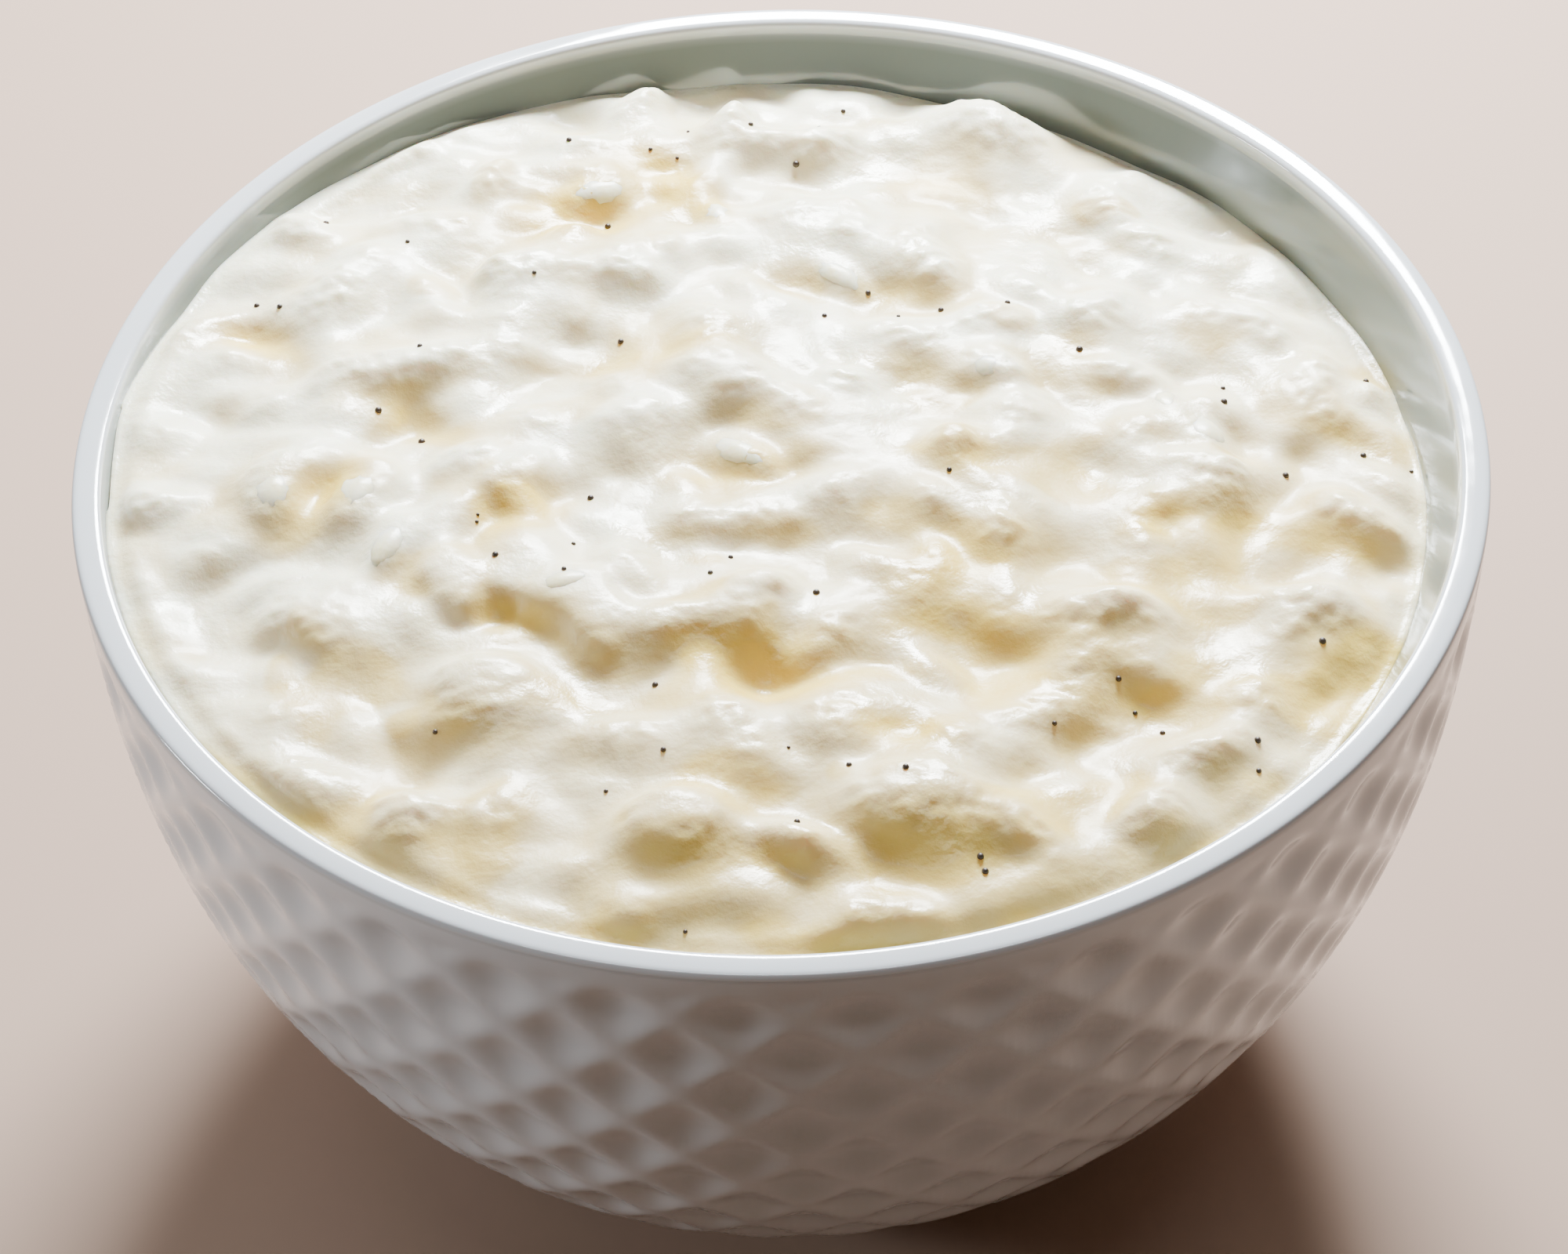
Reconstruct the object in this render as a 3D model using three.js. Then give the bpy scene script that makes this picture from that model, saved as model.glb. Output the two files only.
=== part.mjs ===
// Rice pudding in its porcelain bowl.
// Millimetres, +Z up. The origin is the middle of the foot ring's resting face.
// The bowl is one solid of revolution whose outside is pressed with a lattice of diamond hollows.
// The pudding is one solid that fills the bowl up to an uneven, stirred top.
import * as THREE from "three";

// Bowl: heights
const RIM_HEIGHT = 67; // level of the widest point of the lip; depths are measured down from here
const RECESS_HEIGHT = 2.8; // underside of the floor, inside the foot ring
const FLOOR_DEPTH = 60.6; // inside floor at the middle

// Bowl: outside profile, radius = RIM_RADIUS * sqrt(1 - (depth / PROFILE_DEPTH) ^ PROFILE_POWER)
const RIM_RADIUS = 60;
const PROFILE_DEPTH = 74.5;
const PROFILE_POWER = 2.48;
const SLOPE_STEP = 0.01; // depth step for the profile's slope
const LIP_WALL = 2; // thickness where the lip starts
const WALL = 5; // thickness from WALL_FULL down
const WALL_FULL = 6.2; // depth where the inside's slope under the lip ends

// Bowl: rounded lip
const LIP_DROP = 0.9; // where its rounding starts, under the rim level
const LIP_RISE = 1.3; // from there to its top
const LIP_STEPS = 6;

// Bowl: foot ring
const FOOT_RADIUS = 30.3;
const FOOT_WIDTH = 3.9;
const FOOT_EDGE = 0.7; // rounding of the resting face

// Bowl: diamond lattice
const DIAMONDS = 40; // round the bowl in one row
const ROW_PITCH = 5; // depth between one row of centres and the next, half a diamond's height
const FIRST_ROW = 5.4; // depth of the top row of centres
const ROWS = 12;
const DIMPLE = 0.7; // how far a diamond's middle lies under its ridges

// Divisions round the axis: a centre and a crossing for each diamond
const DIVISIONS = 2 * DIAMONDS;
const FRONT = -Math.PI / 2;

// Inside wall: depths of the outside points that the inside rings are offset from
const INNER_STATIONS = [14, 24, 33, 42, 50, 57, 62];
const FLOOR_RADII = [24, 12];

// Pudding: the broad form of its top, as depths under RIM_HEIGHT
const GAP = 0.3; // clearance to the bowl
const TOP_RADIUS = RIM_RADIUS - WALL; // reach of the top, measured on the low side
const EDGE_DEPTH = 3.3; // mean depth of the top near the wall
const TILT = 2.7; // how much deeper the edge lies on the low side
const LOW_SIDE = THREE.MathUtils.degToRad(26); // direction of the low side
const MOUND = 2.6; // rise of the middle over the edge
const ROLL = 1; // how far the rounded edge drops at the wall
const BEND_DROP = 0.6; // least height of the pudding's side above its bend
const ROLL_WIDTH = 5;
const CEILING = 67.2; // no crest stands above this height

// Pudding: the spiral furrow and ridge left by stirring
const SWIRL_PITCH = 15; // radial distance from one ridge to the next
const SWIRL_HEIGHT = 0.55;

// Pudding: lumps of grains set out on a sunflower spiral
const LUMPS = 120;
const LUMP_LENGTH = 4.2; // half length, on average
const LUMP_SLIMNESS = 0.7; // width against length
const LUMP_HEIGHT = { mean: 0.9, change: 0.6, step: 3.3 }; // the step is the phase from one lump to the next
const LUMP_SIZE = { mean: 1, change: 0.35, step: 7.1 };
const LUMP_TURN = 1.7;
const LUMP_FLANK = 1.5; // power of a lump's rounding: higher is more pointed
const GOLDEN_ANGLE = Math.PI * (3 - Math.sqrt(5));

// Pudding: rings of the top, from the wall inwards, with their divisions
const TOP_BANDS = [
  { from: 54, to: 28, rings: 9, divisions: DIVISIONS },
  { from: 25, to: 13, rings: 5, divisions: DIVISIONS / 2 },
  { from: 10, to: 4, rings: 3, divisions: DIVISIONS / 4 },
];

// The few lumps that stand out: place, half length, half width, turn and height
const BIG_LUMPS = [
  { x: 11, y: -43, length: 8.5, width: 4.5, turn: 0, height: 3 },
  { x: -9, y: -44, length: 5.5, width: 4.5, turn: 0, height: 2.4 },
  { x: 23, y: 46, length: 8, width: 5, turn: -0.6, height: 2.2 },
  { x: 14, y: -2, length: 3.6, width: 3, turn: 0.9, height: 2 },
  { x: 0, y: 7, length: 8.5, width: 3, turn: -0.6, height: 2 },
  { x: -32, y: -17, length: 13, width: 3, turn: -0.5, height: 1.8 },
];

/** Radius of the bowl's outside at a depth under the rim. */
function outerRadius(depth) {
  return RIM_RADIUS * Math.sqrt(1 - (Math.max(depth, 0) / PROFILE_DEPTH) ** PROFILE_POWER);
}

/** Thickness of the bowl's wall at a depth: thin at the lip, full from WALL_FULL down. */
function wallAt(depth) {
  const share = THREE.MathUtils.clamp((depth - LIP_DROP) / (WALL_FULL - LIP_DROP), 0, 1);
  return THREE.MathUtils.lerp(LIP_WALL, WALL, share);
}

/** The inside point square to the outside at a depth, moved in by a clearance, as { radius, height }. */
function insidePoint(depth, clearance) {
  const distance = wallAt(depth) + clearance;
  const slope = (outerRadius(depth + SLOPE_STEP) - outerRadius(depth - SLOPE_STEP)) / (2 * SLOPE_STEP);
  const length = Math.hypot(1, slope);
  const radius = outerRadius(depth) - distance / length;
  return { radius, height: RIM_HEIGHT - depth - (distance * slope) / length };
}

/** Radius of the pudding's side at a depth near its top. */
function sideRadius(depth) {
  return insidePoint(depth, GAP).radius;
}

/** A ring of points round the axis; both callbacks take the point's number and its angle. */
function ring(divisions, radiusOf, heightOf) {
  return Array.from({ length: divisions }, (_, index) => {
    const angle = FRONT + (2 * Math.PI * index) / divisions;
    const radius = radiusOf(index, angle);
    return new THREE.Vector3(
      radius * Math.cos(angle),
      radius * Math.sin(angle),
      heightOf(index, angle, radius),
    );
  });
}

/** A level ring of one radius. */
function plainRing(divisions, radius, height) {
  return ring(divisions, () => radius, () => height);
}

/** A closed surface made of rings, from a pole under the piece, round its outside, to a pole on top. */
class RingSurface {
  constructor(lowPole) {
    this.positions = [...lowPole.toArray()];
    this.triangles = [];
    this.last = null;
  }

  /** Adds a ring and joins it to the one before; the ridge test says which way a quad is split. */
  add(points, isRidge = () => true) {
    const start = this.positions.length / 3;
    const count = points.length;
    points.forEach((point) => this.positions.push(...point.toArray()));
    const next = { start, count };
    if (!this.last) this.fan(next);
    else if (this.last.count === count) this.quads(this.last, next, isRidge);
    else if (this.last.count > count) this.narrow(this.last, next);
    else this.widen(this.last, next);
    this.last = next;
    return this;
  }

  /** The first ring's fan from the low pole. */
  fan(a) {
    for (let i = 0; i < a.count; i++) {
      this.triangles.push(0, a.start + ((i + 1) % a.count), a.start + i);
    }
  }

  /** Two rings of the same count. */
  quads(a, b, isRidge) {
    for (let i = 0; i < a.count; i++) {
      const j = (i + 1) % a.count;
      const [a0, a1, b0, b1] = [a.start + i, a.start + j, b.start + i, b.start + j];
      if (isRidge(i)) this.triangles.push(a0, a1, b1, a0, b1, b0);
      else this.triangles.push(a0, a1, b0, a1, b1, b0);
    }
  }

  /** From a ring to one with half its points. */
  narrow(a, b) {
    for (let i = 0; i < b.count; i++) {
      const j = (i + 1) % b.count;
      const [a0, a1] = [a.start + 2 * i, a.start + 2 * i + 1];
      const a2 = a.start + ((2 * i + 2) % a.count);
      this.triangles.push(a0, a1, b.start + i, a1, b.start + j, b.start + i, a1, a2, b.start + j);
    }
  }

  /** From a ring to one with twice its points. */
  widen(a, b) {
    for (let i = 0; i < a.count; i++) {
      const j = (i + 1) % a.count;
      const [b0, b1] = [b.start + 2 * i, b.start + 2 * i + 1];
      const b2 = b.start + ((2 * i + 2) % b.count);
      this.triangles.push(a.start + i, b1, b0, a.start + i, a.start + j, b1, a.start + j, b2, b1);
    }
  }

  /** Closes the surface on its top pole and returns it as a geometry. */
  close(topPole) {
    const pole = this.positions.length / 3;
    this.positions.push(...topPole.toArray());
    const { start, count } = this.last;
    for (let i = 0; i < count; i++) {
      this.triangles.push(start + i, start + ((i + 1) % count), pole);
    }
    const geometry = new THREE.BufferGeometry();
    geometry.setAttribute("position", new THREE.Float32BufferAttribute(this.positions, 3));
    geometry.setIndex(this.triangles);
    geometry.computeVertexNormals();
    return geometry;
  }
}

/** Foot ring: recess, resting face and outer side, up to where the body starts. */
function addFoot(surface) {
  const inner = FOOT_RADIUS - FOOT_WIDTH;
  surface.add(plainRing(DIVISIONS / 2, inner - FOOT_EDGE, RECESS_HEIGHT));
  surface.add(plainRing(DIVISIONS, inner, RECESS_HEIGHT - FOOT_EDGE));
  surface.add(plainRing(DIVISIONS, inner + FOOT_EDGE, 0));
  surface.add(plainRing(DIVISIONS, FOOT_RADIUS - FOOT_EDGE, 0));
  surface.add(plainRing(DIVISIONS, FOOT_RADIUS, FOOT_EDGE));
  surface.add(plainRing(DIVISIONS, FOOT_RADIUS + FOOT_EDGE, RECESS_HEIGHT));
}

/** Outside of the body: rows of diamond centres and crossings that take turns, from the foot up. */
function addLattice(surface) {
  for (let row = ROWS - 1; row >= 0; row--) {
    const depth = FIRST_ROW + row * ROW_PITCH;
    const hollow = row === ROWS - 1 ? 0 : DIMPLE; // the lowest ring is plain
    const isCentre = (index) => (index + row) % 2 === 1;
    const radiusOf = (index) => outerRadius(depth) - (isCentre(index) ? hollow : 0);
    surface.add(ring(DIVISIONS, radiusOf, () => RIM_HEIGHT - depth), isCentre);
  }
}

/** The rounded lip, from its outside over the top to its inside. */
function addLip(surface) {
  const round = LIP_WALL / 2;
  for (let step = 0; step <= LIP_STEPS; step++) {
    const turn = (Math.PI * step) / LIP_STEPS;
    const radius = RIM_RADIUS - round + round * Math.cos(turn);
    surface.add(plainRing(DIVISIONS, radius, RIM_HEIGHT - LIP_DROP + LIP_RISE * Math.sin(turn)));
  }
}

/** The ring where the inside's slope under the lip ends. */
function bendRing() {
  const { radius, height } = insidePoint(WALL_FULL, 0);
  return plainRing(DIVISIONS, radius, height);
}

/** Rings along the bowl's inside wall under that bend, moved in by a clearance, from the top down. */
function wallRings(clearance) {
  return INNER_STATIONS.map((depth) => {
    const { radius, height } = insidePoint(depth, clearance);
    return plainRing(DIVISIONS, radius, height);
  });
}

/** Rings of the bowl's inside floor, raised by a clearance, from the wall to the middle. */
function floorRings(clearance) {
  const wall = insidePoint(INNER_STATIONS.at(-1), 0);
  const middle = RIM_HEIGHT - FLOOR_DEPTH;
  return FLOOR_RADII.map((radius, index) => {
    const height = middle + (wall.height - middle) * (radius / wall.radius) ** 2 + clearance;
    return plainRing(DIVISIONS / 2 ** (index + 1), radius, height);
  });
}

/** The bowl, as one closed solid. */
function bowlGeometry() {
  const surface = new RingSurface(new THREE.Vector3(0, 0, RECESS_HEIGHT));
  addFoot(surface);
  addLattice(surface);
  addLip(surface);
  surface.add(bendRing());
  wallRings(0).forEach((points) => surface.add(points));
  floorRings(0).forEach((points) => surface.add(points));
  return surface.close(new THREE.Vector3(0, 0, RIM_HEIGHT - FLOOR_DEPTH));
}

/** Height that one oval lump adds at a point, smooth to its border. */
function lumpRise(x, y, lump) {
  const [dx, dy] = [x - lump.x, y - lump.y];
  const [c, s] = [Math.cos(lump.turn), Math.sin(lump.turn)];
  const along = (c * dx + s * dy) / lump.length;
  const across = (c * dy - s * dx) / lump.width;
  const square = along * along + across * across;
  return square < 1 ? lump.height * (1 - square) ** LUMP_FLANK : 0;
}

/** Small lumps of grains, spread evenly, each with its own size and turn. */
function smallLumps() {
  return Array.from({ length: LUMPS }, (_, index) => {
    const angle = index * GOLDEN_ANGLE;
    const radius = TOP_RADIUS * Math.sqrt((index + 0.5) / LUMPS);
    const length = LUMP_LENGTH * (LUMP_SIZE.mean + LUMP_SIZE.change * Math.sin(index * LUMP_SIZE.step));
    return {
      x: radius * Math.cos(angle),
      y: radius * Math.sin(angle),
      length,
      width: length * LUMP_SLIMNESS,
      turn: index * LUMP_TURN,
      height: LUMP_HEIGHT.mean + LUMP_HEIGHT.change * Math.cos(index * LUMP_HEIGHT.step),
    };
  });
}

const ALL_LUMPS = [...BIG_LUMPS, ...smallLumps()];

/** Depth of the pudding's edge along the wall, in the direction of an angle. */
function edgeDepth(angle) {
  return EDGE_DEPTH + TILT * Math.cos(angle - LOW_SIDE) + ROLL;
}

/** Height of the pudding's top at a point. */
function topHeight(x, y) {
  const radius = Math.hypot(x, y);
  const angle = Math.atan2(y, x);
  const reach = radius / TOP_RADIUS;
  const tilt = TILT * reach * Math.cos(angle - LOW_SIDE);
  const mound = MOUND * (1 - reach * reach);
  const toWall = Math.max(0, 1 - (TOP_RADIUS - radius) / ROLL_WIDTH);
  const roll = ROLL * toWall * toWall;
  const swirl = SWIRL_HEIGHT * Math.sin((2 * Math.PI * radius) / SWIRL_PITCH + angle) * (1 - toWall);
  const lumps = Math.max(...ALL_LUMPS.map((lump) => lumpRise(x, y, lump))) * (1 - toWall);
  return Math.min(CEILING, RIM_HEIGHT - EDGE_DEPTH - tilt + mound - roll + swirl + lumps);
}

/** The pudding's side beside the slope under the lip, and its top from the wall to the middle. */
function addTop(surface) {
  const bendDepth = (angle) => Math.max(WALL_FULL, edgeDepth(angle) + BEND_DROP);
  const bendRadius = (index, angle) => sideRadius(bendDepth(angle));
  const edgeRadius = (index, angle) => sideRadius(edgeDepth(angle));
  surface.add(ring(DIVISIONS, bendRadius, (index, angle) => RIM_HEIGHT - bendDepth(angle)));
  surface.add(ring(DIVISIONS, edgeRadius, (index, angle) => RIM_HEIGHT - edgeDepth(angle)));
  TOP_BANDS.forEach(({ from, to, rings, divisions }) => {
    for (let step = 0; step < rings; step++) {
      const radius = THREE.MathUtils.lerp(from, to, step / (rings - 1));
      const height = (_, angle) => topHeight(radius * Math.cos(angle), radius * Math.sin(angle));
      surface.add(ring(divisions, () => radius, height));
    }
  });
}

/** The pudding, as one closed solid. */
function puddingGeometry() {
  const surface = new RingSurface(new THREE.Vector3(0, 0, RIM_HEIGHT - FLOOR_DEPTH + GAP));
  floorRings(GAP).reverse().forEach((points) => surface.add(points));
  wallRings(GAP).reverse().forEach((points) => surface.add(points));
  addTop(surface);
  return surface.close(new THREE.Vector3(0, 0, topHeight(0, 0)));
}

/** A named mesh with its own material. */
function piece(name, geometry, colour, roughness) {
  const material = new THREE.MeshStandardMaterial({ color: colour, roughness, metalness: 0 });
  const mesh = new THREE.Mesh(geometry, material);
  mesh.name = name;
  return mesh;
}

const ricePudding = new THREE.Group();
ricePudding.add(piece("bowl", bowlGeometry(), 0xeef0f2, 0.12));
ricePudding.add(piece("rice_pudding", puddingGeometry(), 0xf3ecdc, 0.4));

export default ricePudding;
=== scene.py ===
"""Rice pudding in its porcelain bowl: every visible surface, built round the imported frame.

Shapes are worked out in millimetres and put into metres when a mesh is made. The frame stands on z = 0
with the bowl's axis on Z and the eater's side towards -Y.
"""

import logging
import math
from dataclasses import dataclass, field
from enum import Enum

import bpy
import numpy as np
from mathutils import Matrix, Vector


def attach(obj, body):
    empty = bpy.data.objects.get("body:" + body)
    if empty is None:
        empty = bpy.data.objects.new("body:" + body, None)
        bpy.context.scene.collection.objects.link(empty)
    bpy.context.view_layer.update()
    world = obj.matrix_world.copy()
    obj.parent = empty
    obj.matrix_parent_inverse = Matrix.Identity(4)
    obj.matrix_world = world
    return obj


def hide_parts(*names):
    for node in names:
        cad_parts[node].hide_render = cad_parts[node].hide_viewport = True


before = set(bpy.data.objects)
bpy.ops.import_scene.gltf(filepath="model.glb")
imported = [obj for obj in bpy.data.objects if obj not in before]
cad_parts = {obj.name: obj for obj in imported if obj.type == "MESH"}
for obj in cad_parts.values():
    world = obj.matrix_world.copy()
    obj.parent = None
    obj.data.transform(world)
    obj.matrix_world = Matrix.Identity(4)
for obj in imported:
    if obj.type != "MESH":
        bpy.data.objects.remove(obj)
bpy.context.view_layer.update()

LOG = logging.getLogger("rice_pudding")
MM = 0.001
FRONT = -math.pi / 2

Array = np.ndarray
Socket = bpy.types.NodeSocket


class Slot(Enum):
    """The record's material slots."""

    PORCELAIN = "porcelain"
    PUDDING = "pudding"
    RICE_GRAIN = "rice_grain"
    VANILLA = "vanilla"


class Mark(Enum):
    """Names of the attributes that meshes carry for node trees and finishes."""

    AROUND = "around"
    DOWN = "down"
    RELIEF = "relief"
    HOLLOW = "hollow"
    BISQUE = "bisque"
    INSIDE = "inside"
    # Painted shade in the pudding's colour, together with the real yellower tint of bare grains.
    WARMTH_AND_SHADE = "warmth_and_shade"
    WETNESS = "wetness"
    TURN = "turn"
    SIZE = "size"


# ---------------------------------------------------------------- helpers


def smoothstep(low: float, high: float, value: Array) -> Array:
    """Eases from 0 at low to 1 at high.

    Args:
        low: Where the result starts to rise.
        high: Where the result reaches 1.
        value: The values to ease.

    Returns:
        An array from 0 to 1.
    """
    t = np.clip((value - low) / (high - low), 0.0, 1.0)
    return t * t * (3.0 - 2.0 * t)


def soft_max(a: Array, b: Array, blend: float) -> Array:
    """The higher of two surfaces, with a fillet where they meet.

    Args:
        a: First surface.
        b: Second surface.
        blend: Height difference over which the fillet reaches.

    Returns:
        The joined surface.
    """
    near = np.maximum(blend - np.abs(a - b), 0.0)
    return np.maximum(a, b) + near * near / (4.0 * blend)


def mesh_piece(name: str, points: Array, faces: list, marks: dict | None = None) -> bpy.types.Object:
    """Makes a smooth-shaded mesh object at the origin.

    Args:
        name: The piece's name.
        points: Vertices in millimetres, one row each.
        faces: Faces as tuples of vertex numbers.
        marks: Attributes by Mark, with one value, or one row of three, for each vertex.

    Returns:
        The linked object.
    """
    mesh = bpy.data.meshes.new(name)
    mesh.from_pydata((points * MM).tolist(), [], faces)
    mesh.shade_smooth()
    for mark, values in (marks or {}).items():
        kind, key = ("FLOAT", "value") if values.ndim == 1 else ("FLOAT_VECTOR", "vector")
        attribute = mesh.attributes.new(mark.value, kind, "POINT")
        attribute.data.foreach_set(key, np.ascontiguousarray(values, np.float32).ravel())
    piece = bpy.data.objects.new(name, mesh)
    bpy.context.scene.collection.objects.link(piece)
    return piece


class SmoothNoise:
    """Seeded gradient noise over a plane, from about -1 to 1."""

    CELLS = 64

    def __init__(self, seed: int) -> None:
        """Draws the gradients.

        Args:
            seed: Fixes the pattern.
        """
        turns = np.random.default_rng(seed).uniform(0, 2 * math.pi, (self.CELLS, self.CELLS))
        self.slope_x, self.slope_y = np.cos(turns), np.sin(turns)

    def at(self, x: Array, y: Array) -> Array:
        """Noise at points whose coordinates are counted in cells.

        Args:
            x: Coordinates across.
            y: Coordinates along.

        Returns:
            The noise at each point.
        """
        x0, y0 = np.floor(x).astype(int), np.floor(y).astype(int)
        fx, fy = x - x0, y - y0
        ease_x, ease_y = (f * f * f * (f * (f * 6 - 15) + 10) for f in (fx, fy))

        def corner(dx: int, dy: int) -> Array:
            """Slope of one cell corner, followed out to each point."""
            i, j = (x0 + dx) % self.CELLS, (y0 + dy) % self.CELLS
            return self.slope_x[i, j] * (fx - dx) + self.slope_y[i, j] * (fy - dy)

        low = corner(0, 0) * (1 - ease_x) + corner(1, 0) * ease_x
        high = corner(0, 1) * (1 - ease_x) + corner(1, 1) * ease_x
        return (low * (1 - ease_y) + high * ease_y) * math.sqrt(2)

    def layered(self, x: Array, y: Array, octaves: int, gain: float = 0.5) -> Array:
        """Noise with finer and fainter layers of itself added.

        Args:
            x: Coordinates in cells of the coarsest layer.
            y: Coordinates in cells of the coarsest layer.
            octaves: How many layers, each twice as fine.
            gain: Strength of a layer against the one before.

        Returns:
            The summed noise.
        """
        return sum(gain**k * self.at(x * 2**k + 17 * k, y * 2**k + 5 * k) for k in range(octaves))


class NodeGraph:
    """Shorthand for wiring a shader or geometry node tree."""

    def __init__(self, tree: bpy.types.NodeTree) -> None:
        """Starts on an emptied tree.

        Args:
            tree: The node tree to fill.
        """
        self.tree = tree
        tree.nodes.clear()

    def node(self, kind: str, settings: dict | None = None, **sockets: object) -> bpy.types.Node:
        """Adds a node.

        Args:
            kind: The node's type name.
            settings: Properties of the node itself.
            **sockets: Input sockets by name, with _ for a space, or by number as s0, s1, s2.

        Returns:
            The new node.
        """
        made = self.tree.nodes.new(kind)
        for key, value in (settings or {}).items():
            setattr(made, key, value)
        for key, value in sockets.items():
            numbered = key[0] == "s" and key[1:].isdigit()
            socket = made.inputs[int(key[1:]) if numbered else key.replace("_", " ")]
            self.feed(socket, value)
        return made

    def feed(self, socket: Socket, value: object) -> None:
        """Links a socket to a node's output, or sets its own value.

        Args:
            socket: The input socket.
            value: A node, one of its outputs, or a constant.
        """
        if isinstance(value, bpy.types.Node):
            value = value.outputs[0]
        if isinstance(value, bpy.types.NodeSocket):
            self.tree.links.new(value, socket)
        else:
            socket.default_value = value

    def math(self, operation: str, *terms: object) -> Socket:
        """A math node's result on one to three terms.

        Args:
            operation: The node's operation.
            *terms: Sockets or constants.

        Returns:
            The result.
        """
        made = self.node("ShaderNodeMath", {"operation": operation})
        for socket, term in zip(made.inputs, terms):
            self.feed(socket, term)
        return made.outputs[0]

    def between(self, amount: object, low: tuple, high: tuple) -> Socket:
        """A colour that goes from low to high as the amount goes from 0 to 1.

        Args:
            amount: A socket or a constant.
            low: The colour at 0, or a socket.
            high: The colour at 1, or a socket.

        Returns:
            The colour.
        """
        mix = self.node("ShaderNodeMix", {"data_type": "RGBA"})
        self.feed(mix.inputs["Factor"], amount)
        for socket, value in ((mix.inputs[6], low), (mix.inputs[7], high)):
            self.feed(socket, (*value, 1.0) if isinstance(value, tuple) else value)
        return mix.outputs[2]

    def remap(self, value: object, low: float, high: float, to_low: float, to_high: float) -> Socket:
        """A value moved from one range to another, held at its ends."""
        made = self.node("ShaderNodeMapRange", s0=value, s1=low, s2=high, s3=to_low, s4=to_high)
        return made.outputs[0]

    def field(self, mark: Mark, kind: str = "FLOAT") -> Socket:
        """A mesh attribute as a geometry field."""
        made = self.node("GeometryNodeInputNamedAttribute", {"data_type": kind}, Name=mark.value)
        return made.outputs[0]

    def give_out(self, geometry: object, finish: Socket) -> None:
        """Ends a geometry tree: its geometry made real, smooth and dressed in the finish.

        Args:
            geometry: The node that holds the geometry.
            finish: The input that brings the material.
        """
        real = self.node("GeometryNodeRealizeInstances", Geometry=geometry)
        smooth = self.node("GeometryNodeSetShadeSmooth", Geometry=real)
        dressed = self.node("GeometryNodeSetMaterial", Geometry=smooth, Material=finish)
        self.node("NodeGroupOutput", s0=dressed)


def node_tree(name: str, inputs: dict[str, str]) -> bpy.types.NodeTree:
    """An empty geometry node tree with a geometry input and output.

    Args:
        name: The tree's name.
        inputs: Its further inputs by name, with their kinds.

    Returns:
        The tree.
    """
    tree = bpy.data.node_groups.new(name, "GeometryNodeTree")
    tree.interface.new_socket("Geometry", in_out="INPUT", socket_type="NodeSocketGeometry")
    for title, kind in inputs.items():
        tree.interface.new_socket(title, in_out="INPUT", socket_type=f"NodeSocket{kind}")
    tree.interface.new_socket("Geometry", in_out="OUTPUT", socket_type="NodeSocketGeometry")
    return tree


# ---------------------------------------------------------------- finishes


class ShaderGraph(NodeGraph):
    """A material's node graph, with shorthand for patterns in object space; sizes are in millimetres."""

    def __init__(self, material: bpy.types.Material) -> None:
        """Starts on a material.

        Args:
            material: The material to fill.
        """
        super().__init__(material.node_tree)
        self.place = self.node("ShaderNodeTexCoord").outputs["Object"]

    def noise(self, size: float, detail: float = 3.0) -> Socket:
        """Noise whose blotches are about as wide as the size."""
        scale = 1.0 / (size * MM)
        return self.node("ShaderNodeTexNoise", Vector=self.place, Scale=scale, Detail=detail).outputs[0]

    def patches(self, noise: Socket, low: float, high: float, span: float = 0.15) -> Socket:
        """Noise stretched to run from low to high; a smaller span gives its patches firmer borders."""
        return self.remap(noise, 0.5 - span, 0.5 + span, low, high)

    def mark(self, mark: Mark) -> Socket:
        """The value of a mesh attribute."""
        return self.node("ShaderNodeAttribute", {"attribute_name": mark.value}).outputs["Fac"]

    def bump(self, height: Socket, depth: float, under: Socket | None = None) -> Socket:
        """Fine relief that bends the normal.

        Args:
            height: What the relief follows, from 0 to 1.
            depth: Its full depth.
            under: A coarser relief that this one lies on.

        Returns:
            The bent normal.
        """
        made = self.node("ShaderNodeBump", Height=height, Strength=1.0, Distance=depth * MM)
        if under is not None:
            self.feed(made.inputs["Normal"], under)
        return made.outputs[0]


@dataclass(frozen=True)
class Finish:
    """A named look; each kind says how its shader's sockets are fed."""

    name: str

    def sockets(self, graph: ShaderGraph) -> dict[str, object]:
        """What feeds the shader's sockets.

        Args:
            graph: The material's graph.

        Returns:
            Sockets and constants by the shader's input, with _ for a space.
        """
        raise NotImplementedError

    def material(self) -> bpy.types.Material:
        """Makes the finish.

        Returns:
            The new material.
        """
        material = bpy.data.materials.new(self.name)
        material.use_nodes = True
        graph = ShaderGraph(material)
        shader = graph.node("ShaderNodeBsdfPrincipled", **self.sockets(graph))
        graph.node("ShaderNodeOutputMaterial", Surface=shader)
        return material


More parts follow.
